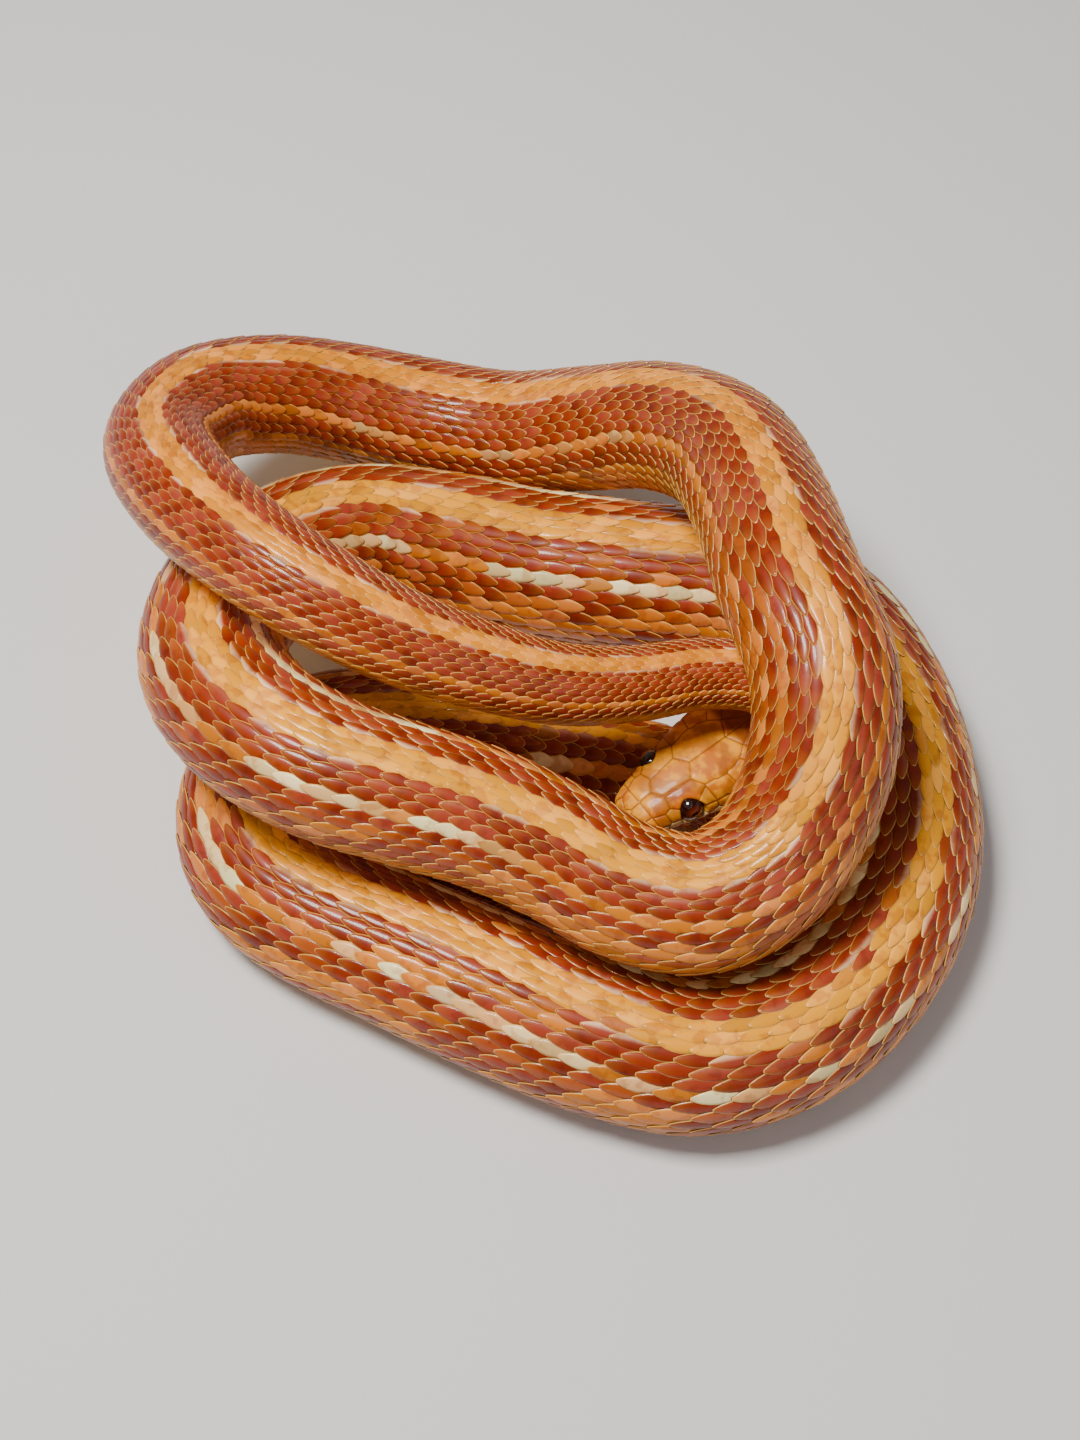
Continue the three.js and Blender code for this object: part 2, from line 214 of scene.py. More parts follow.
def body_section():
    """The round back and flat belly, for a half width of 1."""
    angles = np.radians(np.linspace(0, BACK_SWEEP, ARC_POINTS))
    arc = np.stack([np.sin(angles), BACK_HEIGHT * np.cos(angles)], 1)
    low = np.array([FLANK_LOW, (BELLY_FLAT, -BELLY_DEPTH), (0, -BELLY_DEPTH)])
    points = np.vstack([arc, low])
    for _ in range(CORNER_CUTS):
        fore, rear = points[:-1], points[1:]
        cut = np.vstack([fore * 0.75 + rear * 0.25, fore * 0.25 + rear * 0.75])
        order = np.argsort(np.tile(np.arange(len(fore)), 2) + np.repeat([0, 0.5], len(fore)))
        points = np.vstack([points[:1], cut[order], points[-1:]])
    return evenly(points, AROUND)


def head_size(b, column):
    """A size of the head at b behind the snout's tip, eased between the stations."""
    fine = np.linspace(0, HEAD_SHAPE[-1, 0], HEAD_TENTHS)
    plain = np.interp(fine, HEAD_SHAPE[:, 0], HEAD_SHAPE[:, column])
    kernel = np.hanning(2 * EASE_HALF + 1)
    kernel /= kernel.sum()
    before = plain[0] - (plain[EASE_HALF:0:-1] - plain[0])
    padded = np.concatenate([before, plain, np.full(EASE_HALF, plain[-1])])
    eased = np.convolve(padded, kernel, "valid")
    size = np.interp(b, fine, eased)
    tip = np.clip(b / SNOUT_ROUND, 0, 1)
    return size * np.sqrt(np.clip(1 - (1 - tip) ** 2, 0, 1)) ** TIP_BLUNT


def head_section(b):
    """One side of the head's section at b behind the snout's tip."""
    w, crown, chin = (float(head_size(b, k)) for k in (1, 2, 3))
    a = np.linspace(math.pi / 2, -math.pi / 2, 181)
    square = np.where(a > 0, CROWN_SQUARE, JAW_SQUARE)
    y = w * np.abs(np.cos(a)) ** square
    z = np.where(a > 0, crown, chin) * np.sign(np.sin(a)) * np.abs(np.sin(a)) ** HEAD_ROUND
    return evenly(np.stack([y, z], 1), AROUND)


SECTION = body_section()
out_grid = np.empty((len(S), AROUND, 2))
for i, s in enumerate(S):
    body_part = SECTION * half[i]
    blend = float(smooth(s, *NAPE_BLEND))
    if blend < 1:
        out_grid[i] = (1 - blend) * head_section(s + HEAD_LENGTH) + blend * body_part
    else:
        out_grid[i] = body_part
around_slope = np.gradient(out_grid, axis=1)
normal_grid = np.stack([-around_slope[:, :, 1], around_slope[:, :, 0]], 2)
normal_grid /= np.maximum(np.linalg.norm(normal_grid, axis=2), 1e-9)[:, :, None]
normal_grid[:, 0] = (0, 1)
normal_grid[:, -1] = (0, -1)
perimeter = np.linalg.norm(np.diff(out_grid, axis=1), axis=2).sum(axis=1)


def read(grid, s, t):
    """Bilinear reading of a [place, around] grid at any place and any share around."""
    i = np.clip((s - S[0]) / STEP, 0, len(S) - 1.001)
    j = np.clip(np.abs(t) * (AROUND - 1), 0, AROUND - 1.001)
    i0, j0 = i.astype(int), j.astype(int)
    fi, fj = (i - i0)[..., None], (j - j0)[..., None]
    low = grid[i0, j0] * (1 - fj) + grid[i0, j0 + 1] * fj
    high = grid[i0 + 1, j0] * (1 - fj) + grid[i0 + 1, j0 + 1] * fj
    return low * (1 - fi) + high * fi


def along(values, s):
    """Vectors of the spine read at any place."""
    return np.stack([np.interp(s, S, values[:, k]) for k in range(values.shape[1])], -1)


def surface(s, t, rise):
    """Points over the animal: s behind the nape, t from the spine (0) to mid belly (1 or -1)."""
    s, t, rise = np.broadcast_arrays(np.asarray(s, float), np.asarray(t, float), np.asarray(rise, float))
    turned = np.where(np.abs(t) > 1, np.sign(t) * (np.abs(t) - 2), t)
    sign = np.where(turned < 0, -1.0, 1.0)[..., None]
    flat = read(out_grid, s, turned) + read(normal_grid, s, turned) * rise[..., None]
    c, lateral, upward = along(centre, s), along(side, s), along(back, s)
    return c + lateral * sign * flat[..., :1] + upward * flat[..., 1:]


def stretch_at(s, t):
    """How far the surface is stretched along the body by its bends."""
    reach = 0.8
    near = surface(s + reach, t, 0) - surface(s - reach, t, 0)
    return np.linalg.norm(near, axis=-1) / (2 * reach)


# Rolls of the loops: share of the way round, and where each one begins, is full, ends and is gone
ROLLS = [(0.06, 665, 700, 745, 785), (-0.10, 560, 595, 640, 680), (-0.04, 775, 800, 850, 880)]


def spine_offset(s):
    """Where the middle row lies, as a share of the way round, after the slight roll of each loop."""
    return sum(roll * (smooth(s, a, b) * (1 - smooth(s, c, d))) for roll, a, b, c, d in ROLLS)


def row_place(s, row, last_row):
    """Share of the way round for a row counted from the middle one."""
    share = row / last_row
    spaced = share * (ROW_NARROW + (1 - ROW_NARROW) * np.abs(share))
    return spine_offset(s) * (1 - share**2) + spaced * EDGE_T


def row_width(row, last_row):
    """Width of a row beside the mean row's: narrow at the spine, broad low on the flank."""
    return ROW_NARROW + 2 * (1 - ROW_NARROW) * abs(row) / last_row


def ring_places(first, last):
    """Places of the scales along a row, closer where the body is slimmer."""
    places = [first]
    while places[-1] < last:
        places.append(places[-1] + PITCH * float(girth(np.array(max(places[-1], 0.0)))))
    return np.array(places)


def make_mesh(name, points, faces, attributes, uv=None):
    """A mesh object from arrays, its points in millimetres and its attributes per point."""
    mesh = bpy.data.meshes.new(name)
    faces = np.asarray(faces)
    size = faces.shape[1]
    mesh.vertices.add(len(points))
    mesh.vertices.foreach_set("co", ((points + SHIFT) * MM).astype(np.float32).ravel())
    mesh.loops.add(faces.size)
    mesh.loops.foreach_set("vertex_index", faces.astype(np.int32).ravel())
    mesh.polygons.add(len(faces))
    mesh.polygons.foreach_set("loop_start", np.arange(0, faces.size, size, dtype=np.int32))
    mesh.update(calc_edges=True)
    mesh.polygons.foreach_set("use_smooth", np.full(len(faces), True))
    for key, values in attributes.items():
        layer = mesh.attributes.new(key, "FLOAT_VECTOR", "POINT")
        layer.data.foreach_set("vector", np.asarray(values, np.float32).ravel())
    if uv is not None:
        layer = mesh.uv_layers.new(name="OFBake")
        layer.data.foreach_set("uv", uv[faces.ravel()].astype(np.float32).ravel())
    mesh.validate()
    obj = bpy.data.objects.new(name, mesh)
    bpy.context.scene.collection.objects.link(obj)
    return obj


# The head's shields as seeds on its surface: [behind the snout's tip, share of the way round].
# Each point of the head belongs to the shield of its nearest seed, on both sides alike.
SHIELDS = {
    "rostral": [(0.3, 0.0), (0.3, 0.35), (0.4, 0.2)],
    "internasal": [(1.9, 0.12)],
    "nasal": [(1.6, 0.42), (2.3, 0.42)],
    "prefrontal": [(4.2, 0.12), (4.9, 0.2)],
    "loreal": [(4.4, 0.40)],
    "frontal": [(7.2, 0.0), (8.8, 0.0), (10.2, 0.0)],
    "supraocular": [(7.4, 0.24), (8.8, 0.25), (10.0, 0.25)],
    "preocular": [(6.0, 0.38)],
    "postocular_high": [(11.4, 0.36)],
    "postocular_low": [(11.4, 0.46)],
    "parietal": [(13.4, 0.12), (15.2, 0.14), (17.2, 0.13), (19.0, 0.10)],
    "temporal_front": [(13.6, 0.34), (15.2, 0.34)],
    "temporal_low": [(14.0, 0.46), (15.6, 0.46)],
    "temporal_back": [(17.6, 0.31), (18.8, 0.29)],
    "temporal_rear": [(17.8, 0.43)],
    "cheek": [(20.0, 0.38)],
    "nape_a": [(21.2, 0.05)],
    "nape_b": [(20.9, 0.21)],
    "nape_c": [(22.4, 0.15)],
    "nape_d": [(22.4, 0.30)],
}
UPPER_LIP = [
    (1.9, 0.54), (3.9, 0.54), (5.9, 0.54), (7.9, 0.55),
    (10.0, 0.55), (12.4, 0.55), (15.0, 0.55), (17.6, 0.54),
]
LOWER_LIP = [
    (1.4, 0.70), (3.3, 0.70), (5.3, 0.70), (7.4, 0.70),
    (9.7, 0.70), (12.2, 0.69), (14.8, 0.68), (17.4, 0.67),
]
CHIN = [
    (1.6, 0.95), (4.6, 0.86), (8.6, 0.87), (12.6, 0.86), (16.6, 0.86),
    (7.0, 1.0), (11.0, 1.0), (15.0, 1.0),
]
MIRRORED = 500  # added to the number of a shield's twin on the right side

# The head's relief, in millimetres
SHIELDS_END = (21.5, 23.5)
SHIELD_RISE, SHIELD_EDGE, SHIELD_BASE = 0.11, 0.3, 0.05
SEAM_DEPTH, SEAM_WIDTH = 0.10, 0.11
MOUTH_DEPTH, MOUTH_WIDTH, MOUTH_END = 0.34, 0.15, (17.8, 18.8)
LIP_RISE = 0.10
SOCKET_DEPTH, RIM_RISE, RIM_GAP, RIM_WIDTH = 1.7, 0.09, 0.28, 0.2
NOSTRIL_DEPTH = 0.5


def round_gap(a, b):
    """Share of the way round between two places, by the shorter way."""
    across = np.abs(a - b)
    return np.minimum(across, 2 - across)


def shield_field(b, t):
    """For points of the head: which shield, the distance to its edge in mm, and its kind."""
    seeds, owner, kinds = [], [], []
    groups = list(SHIELDS.values()) + [[seed] for seed in UPPER_LIP + LOWER_LIP + CHIN]
    for number, group in enumerate(groups):
        on_middle = group[0][1] in (0.0, 1.0)
        for behind, share in group:
            for sign in (1, -1):
                seeds.append((behind, share * sign))
                owner.append(number if on_middle or sign > 0 else number + MIRRORED)
                kinds.append(1.0 if number >= len(SHIELDS) else 0.0)
    seeds, owner, kinds = np.array(seeds), np.array(owner), np.array(kinds)
    reach = np.interp(b - HEAD_LENGTH, S, perimeter)
    best = np.full(b.shape, 1e9)
    best_seed = np.zeros(b.shape, int)
    distances = np.empty((len(seeds),) + b.shape)
    for k, (sb, st) in enumerate(seeds):
        distances[k] = np.hypot(b - sb, round_gap(t, st) * reach)
        closer = distances[k] < best
        best = np.where(closer, distances[k], best)
        best_seed = np.where(closer, k, best_seed)
    own = owner[best_seed]
    own_b, own_t = seeds[best_seed][..., 0], seeds[best_seed][..., 1]
    own_reach = np.interp(own_b - HEAD_LENGTH, S, perimeter)
    edge = np.full(b.shape, 9.0)
    for k, (sb, st) in enumerate(seeds):
        apart = np.hypot(own_b - sb, round_gap(own_t, st) * own_reach)
        gap = (distances[k] ** 2 - best**2) / np.maximum(2 * apart, 1e-3)
        edge = np.where(owner[k] != own, np.minimum(edge, np.maximum(gap, 0)), edge)
    return own, edge, kinds[best_seed]


def mouth_height(b):
    """Height of the line of the mouth over the head's middle line."""
    t = np.clip(b / MOUTH["corner"], 0, 1)
    return MOUTH["tip"] - MOUTH["bow"] * np.sin(np.pi * t) + MOUTH["rise"] * t * t


def head_relief(b, t):
    """Rise of the head's surface over its smooth form, and the marks that its colours need."""
    own, edge, lip = shield_field(b, t)
    section = read(out_grid, b - HEAD_LENGTH, t)
    lateral, height = section[..., 0], section[..., 1]
    shown = 1 - smooth(b, *SHIELDS_END)
    pillow = SHIELD_RISE * (1 - np.exp(-edge / SHIELD_EDGE)) - SHIELD_BASE
    seam = np.exp(-((edge / SEAM_WIDTH) ** 2))
    rise = shown * (pillow - SEAM_DEPTH * seam)
    # line of the mouth, under a slightly raised upper lip
    over = height - mouth_height(b)
    line_mask = np.exp(-((np.abs(over) / MOUTH_WIDTH) ** 2)) * (1 - smooth(b, *MOUTH_END))
    rise = rise - MOUTH_DEPTH * line_mask
    rise = rise + LIP_RISE * smooth(over, 0.0, 0.15) * (1 - smooth(over, 0.5, 1.6)) * shown
    # socket with a low rim, and nostril
    eye_gap = np.hypot(b - EYE["back"], height - EYE["up"])
    sideways = smooth(lateral, 2.4, 3.2)
    socket = (1 - smooth(eye_gap, EYE["radius"] - 0.22, EYE["radius"] + 0.06)) * sideways
    rim = np.exp(-(((eye_gap - EYE["radius"] - RIM_GAP) / RIM_WIDTH) ** 2)) * sideways
    nostril_gap = np.hypot(b - NOSTRIL["back"], height - NOSTRIL["up"])
    nostril = 1 - smooth(nostril_gap, NOSTRIL["radius"] * 0.6, NOSTRIL["radius"])
    nostril = nostril * smooth(lateral, 1.6, 2.2)
    rise = rise * (1 - socket) - SOCKET_DEPTH * socket + RIM_RISE * rim - NOSTRIL_DEPTH * nostril
    # painted shade: the mouth's line, the nostril and the eye's socket are marked to be painted dark
    recess_shade = np.clip(line_mask + nostril + socket, 0, 1)
    tone = np.modf(np.abs(np.sin(own * 12.9898 + 4.1)) * 43758.5453)[0]
    return rise, edge, tone, lip * shown, recess_shade


# The skin's rings of points; the head's have three points to each one of the body's
BODY_COLUMNS = 84
HEAD_COLUMNS = 3 * BODY_COLUMNS
HEAD_STEP = 0.135
LEAST_HEIGHT = 0.12  # the skin stays this far over the floor
MEAN_TONE = 0.5
BETWEEN_SCALES = 2.0  # the edge value of skin that no scale covers, painted dark as shade between the scales
ROWS_ON_HEAD = 18
OFF_HEAD = 40.0  # stands for a place behind the head on the body's skin


def shares_around(columns):
    """Even shares of the way round, from the spine over both sides to the middle of the belly."""
    return (np.arange(columns) * 2 / columns + 1) % 2 - 1


def tube(first, ring_count, columns):
    """Triangles of a tube of rings, whose points are counted from first on."""
    i, j = np.meshgrid(np.arange(ring_count - 1), np.arange(columns), indexing="ij")
    k = (j + 1) % columns
    a, c = first + i * columns, first + (i + 1) * columns
    four = np.stack([a + j, a + k, c + k, c + j], -1).reshape(-1, 4)
    return np.vstack([four[:, [0, 1, 2]], four[:, [0, 2, 3]]])


def collar(head_ring, body_ring):
    """Triangles between the head's last ring and the body's first."""
    j = np.arange(BODY_COLUMNS)
    here, after = body_ring + j, body_ring + (j + 1) % BODY_COLUMNS
    fan = [head_ring + (3 * j + n) % HEAD_COLUMNS for n in range(4)]
    parts = [(fan[0], fan[1], here), (fan[1], fan[2], here), (fan[2], after, here), (fan[2], fan[3], after)]
    return np.vstack([np.stack(part, 1) for part in parts])


def cap(ring, columns, tip):
    """Triangles that close a tube from a ring to one point."""
    j = np.arange(columns)
    return np.stack([ring + j, ring + (j + 1) % columns, np.full(columns, tip)], 1)


def marks(shape, *values):
    """One vector for each point of a grid, from values that spread over it."""
    return np.stack([np.broadcast_to(value, shape) for value in values], -1).reshape(-1, len(values))


def make_skin():
    """The whole skin as one mesh, from the snout's tip to the tail's tip."""
    tip = (1 - np.cos(np.linspace(0.02, np.pi / 2, 16))) * SNOUT_ROUND
    b = np.concatenate([tip, np.arange(SNOUT_ROUND + 0.12, HEAD_LENGTH, HEAD_STEP)])
    bb, tb = np.meshgrid(b, shares_around(HEAD_COLUMNS), indexing="ij")
    rise, edge, tone, lip, recess_shade = head_relief(bb, tb)
    head_points = surface(bb - HEAD_LENGTH, tb, rise)

    s = np.concatenate([np.arange(0.0, 60, 1.0), np.arange(60, BODY_LENGTH - 0.4, 2.0), [BODY_LENGTH - 0.2]])
    ss, ts = np.meshgrid(s, shares_around(BODY_COLUMNS), indexing="ij")
    deep = SKIN_IN * smooth(ss, -1, 4) * (1 - 0.6 * smooth(ss, 880, 915))
    body_points = surface(ss, ts, -deep)
    body_points[..., 2] = np.maximum(body_points[..., 2], LEAST_HEIGHT)

    first_body, last_head = bb.size, bb.size - HEAD_COLUMNS
    snout = bb.size + ss.size
    points = np.vstack([
        head_points.reshape(-1, 3), body_points.reshape(-1, 3),
        head_points[0].mean(axis=0), body_points[-1].mean(axis=0),
    ])
    head_tube = tube(0, len(b), HEAD_COLUMNS)
    snout_cap = cap(0, HEAD_COLUMNS, snout)[:, ::-1]
    tail_cap = cap(snout - BODY_COLUMNS, BODY_COLUMNS, snout + 1)
    body_tube = tube(first_body, len(s), BODY_COLUMNS)
    faces = np.vstack([head_tube, snout_cap, body_tube, collar(last_head, first_body), tail_cap])

    # rows are narrow at the spine, so their number grows with the root of the share
    share = np.clip(np.abs(ts - spine_offset(ss)), 0, 1) / EDGE_T
    grow = 1 - ROW_NARROW
    row = (np.sqrt(ROW_NARROW**2 + 4 * grow * share) - ROW_NARROW) / (2 * grow) * (ROWS / 2)
    place = np.vstack([
        marks(bb.shape, bb - HEAD_LENGTH, np.abs(tb) * ROWS_ON_HEAD, MEAN_TONE),
        marks(ss.shape, ss, row * np.sign(ts), MEAN_TONE),
        [[-HEAD_LENGTH, 0, MEAN_TONE], [BODY_LENGTH, 0, MEAN_TONE]],
    ])
    form = np.tile([0.5, 0.0, BETWEEN_SCALES], (len(points), 1))
    shield = np.tile([MEAN_TONE, 0.5, 0.0], (len(points), 1))
    shield[:first_body] = marks(bb.shape, tone, np.minimum(edge, 2), lip)
    site = np.tile([OFF_HEAD, 0.0, 0.0], (len(points), 1))
    site[:first_body] = marks(bb.shape, bb, np.abs(tb), recess_shade)
    obj = make_mesh("skin", points, faces, {"place": place, "form": form, "shield": shield, "site": site})
    is_head = np.zeros(len(faces), np.int32)
    is_head[: len(head_tube) + len(snout_cap)] = 1
    obj.data.materials.append(bpy.data.materials["scaled_skin"])
    obj.data.materials.append(bpy.data.materials["head_shields"])
    obj.data.polygons.foreach_set("material_index", is_head)
    return obj


# One scale: how far along its length each crosswise line of points lies, and how far across each point
SCALE_U = np.array([0.0, 0.16, 0.32, 0.48, 0.64, 0.78, 0.89, 0.96, 1.0])
SCALE_V = np.array([-1.0, -0.97, -0.55, 0.0, 0.55, 0.97, 1.0])
ROOT_AT = 0.30  # a scale's own place, as a share of its length
SCALE_TUCK = 0.16  # its root lies this deep under the outline
SKIRT_DROP, SKIRT_TOP, SKIRT_DEEP = 0.14, 0.05, 0.12  # its edge turns down into the skin
SKIRT_EDGE = 1.7  # the edge value of that turned-down border, over 1 for a scale's own rim, so it is painted dark as shade
SCALE_LONG, SCALE_WIDE = 1.58, 1.36  # beside its place in the row, so that it overlaps its neighbours
FIRST_SCALE = -4.5  # before the nape, and further back down the flanks
NAPE_SLANT = 2.0
MEAN_PITCH = 4.0  # the lifts below are for scales this far apart
PLATE_U = np.array([0.0, 0.3, 0.6, 0.85, 0.96, 1.0])
PLATE_V = np.linspace(-1, 1, 21)
PLATE_LAP = 0.02
BAKE_SIZE = 0.0015  # half a scale's patch on the unwrap


def scale_outline(u):
    """Half width of a scale along its length, blunt in front and drawn to a round point behind."""
    front = np.clip(0.5 + 1.3 * u, 0, 1)
    rear = np.clip((u - 0.42) / 0.58, 0, 1)
    return front * (1 - rear**1.9) ** 0.8


def bake_place(s, t):
    """Place of a point on an unwrap of the skin, laid in four strips."""
    share = np.clip((s + HEAD_LENGTH) / (BODY_LENGTH + HEAD_LENGTH), 0, 0.9999) * 4
    strip = np.floor(share)
    return np.stack([0.01 + 0.98 * (share - strip), (strip + 0.05 + 0.9 * (t + 1) / 2) / 4], -1)


def bake_patch(s, t, u, v):
    """The unwrap of each scale's points, as a small patch round its own place."""
    root = bake_place(s, t)[:, None, None, :]
    return (root + BAKE_SIZE * np.stack([u * 2 - 1, v], -1)).reshape(-1, 2)


def per_scale(values):
    """One value to each scale, ready to spread over its grid of points."""
    return values[:, None, None]


def copied_grid(lines, columns, count):
    """Faces of count grids of points, one after the other."""
    i, j = np.meshgrid(np.arange(lines - 1), np.arange(columns - 1), indexing="ij")
    k = i * columns + j
    cell = np.stack([k, k + 1, k + columns + 1, k + columns], -1).reshape(-1, 4)
    return (per_scale(np.arange(count) * lines * columns) + cell).reshape(-1, 4)


def on_floor(points):
    """The points in one row, with none of them under the floor."""
    points[..., 2] = np.maximum(points[..., 2], 0.0)
    return points.reshape(-1, 3)


def scale_batch(s, t, row, long, wide, lift, dome, tone):
    """Points, faces and marks of many scales at once, one to each entry of the arrays."""
    u, v = np.meshgrid(SCALE_U, SCALE_V, indexing="ij")
    shape = (len(s), *u.shape)
    skirt = (np.abs(v) == 1.0) | (u == 1.0)
    width = scale_outline(np.minimum(u, 0.999)) * v
    s_pts = per_scale(s) + (u - ROOT_AT) * per_scale(long)
    t_pts = per_scale(t) + width * per_scale(wide / np.interp(s, S, perimeter)) / 2
    climb = per_scale(lift) * (0.15 * u + 0.85 * u**1.7)
    arch = per_scale(dome) * ((1 - v**2) * np.sin(np.pi * np.clip(u * 0.8 + 0.15, 0, 1)) ** 0.8)
    rise = -SCALE_TUCK + climb + arch
    rise = np.where(skirt, np.minimum(rise - SKIRT_DROP, -SKIRT_TOP) - SKIRT_DEEP, rise)
    points = on_floor(surface(s_pts, t_pts, rise))
    edge = np.where(skirt, SKIRT_EDGE, np.maximum(np.abs(v), u**3))
    place = marks(shape, per_scale(s), per_scale(row), per_scale(tone))
    form = marks(shape, u, v, edge)
    return points, copied_grid(*u.shape, len(s)), place, form, bake_patch(s, t, u, v)


def make_dorsal_scales(rng):
    """All overlapping scales of the back and flanks, as arrays for scale_batch."""
    out = []
    for first, last, row_count in ((FIRST_SCALE, VENT_AT, ROWS), (VENT_AT, BODY_LENGTH - 6, TAIL_ROWS)):
        places = ring_places(first, last)
        pitch = np.gradient(places)
        outer_row = (row_count - 1) // 2
        last_row = outer_row + 0.5
        for row in range(-outer_row, outer_row + 1):
            s = places + (pitch / 2 if row % 2 else 0)
            keep = s > FIRST_SCALE + NAPE_SLANT * abs(row) / outer_row
            s, p = s[keep], pitch[keep]
            t = row_place(s, row, last_row)
            wide_row = EDGE_T / last_row * np.interp(s, S, perimeter) * row_width(row, last_row)
            s = s + rng.normal(0, 0.02, len(s)) * p
            # scales crowd on the inner side of a bend and spread on its outer side
            stretch = np.clip(stretch_at(s, t), 0.38, 1.5)
            long = SCALE_LONG * p / stretch ** np.where(stretch > 1, 0.55, 0.35)
            wide = wide_row * SCALE_WIDE * (1 + rng.normal(0, 0.03, len(s)))
            size = p / MEAN_PITCH
            lift = size * (0.36 + 0.30 * np.clip(1 - stretch, 0, 1)) * (1 + rng.normal(0, 0.08, len(s)))
            painted_row = np.full(len(s), row * (ROWS / row_count))
            tone = rng.random(len(s))
            out.append(np.stack([s, t, painted_row, long, wide, lift, size * 0.20, tone], 1))
    return np.vstack(out)


def make_ventral_plates(rng):
    """The broad plates of the belly, one behind the other."""
    places = ring_places(2.0, BODY_LENGTH - 4)
    pitch = per_scale(np.gradient(places))
    u, v = np.meshgrid(PLATE_U, PLATE_V, indexing="ij")
    shape = (len(places), *u.shape)
    s_pts = per_scale(places) + ((u - 0.2) * 1.35) * pitch - (0.25 * v**2) * pitch
    t_pts = 1 + v * ((1 - EDGE_T) + PLATE_LAP)
    rise = -0.14 + (0.2 * u**1.5) * (pitch / MEAN_PITCH)
    rise = np.where(u == 1.0, rise - 0.16, rise)
    points = on_floor(surface(s_pts, t_pts, rise))
    tone = rng.random(len(places))
    place = marks(shape, per_scale(places), 15 + 4 * (1 - np.abs(v)), per_scale(tone))
    form = marks(shape, u, v, u**4)
    uv = bake_patch(places, np.full(len(places), 1.0), u, v)
    return points, copied_grid(*u.shape, len(places)), place, form, uv


# Materials
def set_inputs(tree, node, values):
    """Input sockets of a node, by name or number, set to a value or linked to another node's output."""
    for key, value in values.items():
        if isinstance(value, bpy.types.NodeSocket):
            tree.links.new(value, node.inputs[key])
        else:
            node.inputs[key].default_value = value


def add(tree, kind, values, **settings):
    """A node with its settings and its input sockets."""
    node = tree.nodes.new(kind)
    for key, value in settings.items():
        setattr(node, key, value)
    set_inputs(tree, node, values)
    return node


def maths(tree, operation, a, b=0.0, c=None):
    values = {0: a, 1: b} if c is None else {0: a, 1: b, 2: c}
    return add(tree, "ShaderNodeMath", values, operation=operation).outputs[0]


def times(tree, a, b):
    return maths(tree, "MULTIPLY", a, b)


def ranged(tree, value, low, high, to_low=0.0, to_high=1.0):
    """A value eased from low to high onto another range."""
    values = {0: value, 1: low, 2: high, 3: to_low, 4: to_high}
    return add(tree, "ShaderNodeMapRange", values, interpolation_type="SMOOTHSTEP").outputs[0]


def mixed(tree, factor, a, b, blend="MIX"):
    """Two colours mixed; one given as red, green and blue is opaque."""
    a, b = ((*colour, 1) if isinstance(colour, tuple) else colour for colour in (a, b))
    node = add(tree, "ShaderNodeMix", {}, data_type="RGBA", blend_type=blend)
    set_inputs(tree, node, {0: factor, 6: a, 7: b})
    return node.outputs[2]


def ramp(tree, value, stops):
    node = add(tree, "ShaderNodeValToRGB", {0: value})
    elements = node.color_ramp.elements
    while len(elements) < len(stops):
        elements.new(0.5)
    for element, (position, colour) in zip(elements, sorted(stops)):
        element.position = position
        element.color = (*colour, 1)
    return node.outputs[0]


def noise(tree, place, detail, scale=1.0, roughness=0.5):
    values = {"Vector": place, "Scale": scale, "Detail": detail, "Roughness": roughness}
    return add(tree, "ShaderNodeTexNoise", values).outputs["Fac"]


def spot(tree, x, y, z=0.0):
    return add(tree, "ShaderNodeCombineXYZ", {0: x, 1: y, 2: z}).outputs[0]


def parts_of(tree, vector):
    return add(tree, "ShaderNodeSeparateXYZ", {0: vector}).outputs


# Colours of the markings
STRIPE = (0.98, 0.38, 0.0)
STRIPE_FORE = (0.90, 0.29, 0.0)
RED = (0.29, 0.023, 0.0)
CREAM = (1.0, 0.85, 0.42)
GOLD = (0.70, 0.19, 0.0)
TAN = (0.42, 0.11, 0.0)
OLIVE_GOLD = (0.60, 0.20, 0.0)
LAVENDER = (1.0, 0.60, 0.34)
BELLY = (0.9, 0.55, 0.14)
BELLY_FORE = (0.9, 0.45, 0.0)
GRAIN_TINT = (0.62, 0.42, 0.3)
# gold mixed in towards each scale's rear, so that its front stays darker as painted shade under the scale
# ahead
UNSHADED_REAR_GOLD = (0.95, 0.36, 0.03)
# thin rim of each scale: partly pale skin at its border, partly a painted highlight where the edge catches
# the light
RIM_SKIN_AND_HIGHLIGHT = (1.0, 0.62, 0.15)
# painted shade in the gaps between scales, on their turned-down borders and on the bare skin
GAP_SHADE = (0.06, 0.007, 0.0)

# Colours of the head
SHIELD_GOLD = (0.95, 0.36, 0.0)
SHIELD_ORANGE = (0.60, 0.13, 0.0)
SHIELD_RUST = (0.34, 0.055, 0.0)
SHIELD_PALE = (1.0, 0.50, 0.03)
NAPE_BROWN = (0.24, 0.035, 0.0)
CHEEK_GOLD = (1.0, 0.50, 0.04)
LIP_CREAM = (1.0, 0.72, 0.28)
LIP_GOLD = (0.9, 0.40, 0.03)
SHIELD_SEAM = (0.20, 0.04, 0.0)
# painted shade in the mouth's line, the nostrils and the eye sockets
SHADE_IN_RECESSES = (0.05, 0.012, 0.006)

# Rows away from the spine and the colour there, over the fore body and over the rest
RAMP_ROWS = 20


def fore_stops(pale):
    return [
        (0.0, STRIPE_FORE), (1.2, STRIPE_FORE), (1.4, RED), (6.4, RED), (6.6, pale), (7.1, GOLD),
        (7.6, GOLD), (7.8, RED), (9.4, RED), (9.7, OLIVE_GOLD), (14.0, OLIVE_GOLD), (15.2, BELLY_FORE),
    ]


def middle_stops(pale):
    return [
        (0.0, STRIPE), (1.2, STRIPE), (1.4, RED), (4.5, RED), (4.65, pale), (5.35, pale), (5.5, RED),
        (6.9, RED), (7.2, GOLD), (9.4, GOLD), (10.6, TAN), (13.6, TAN), (15.2, BELLY),
    ]


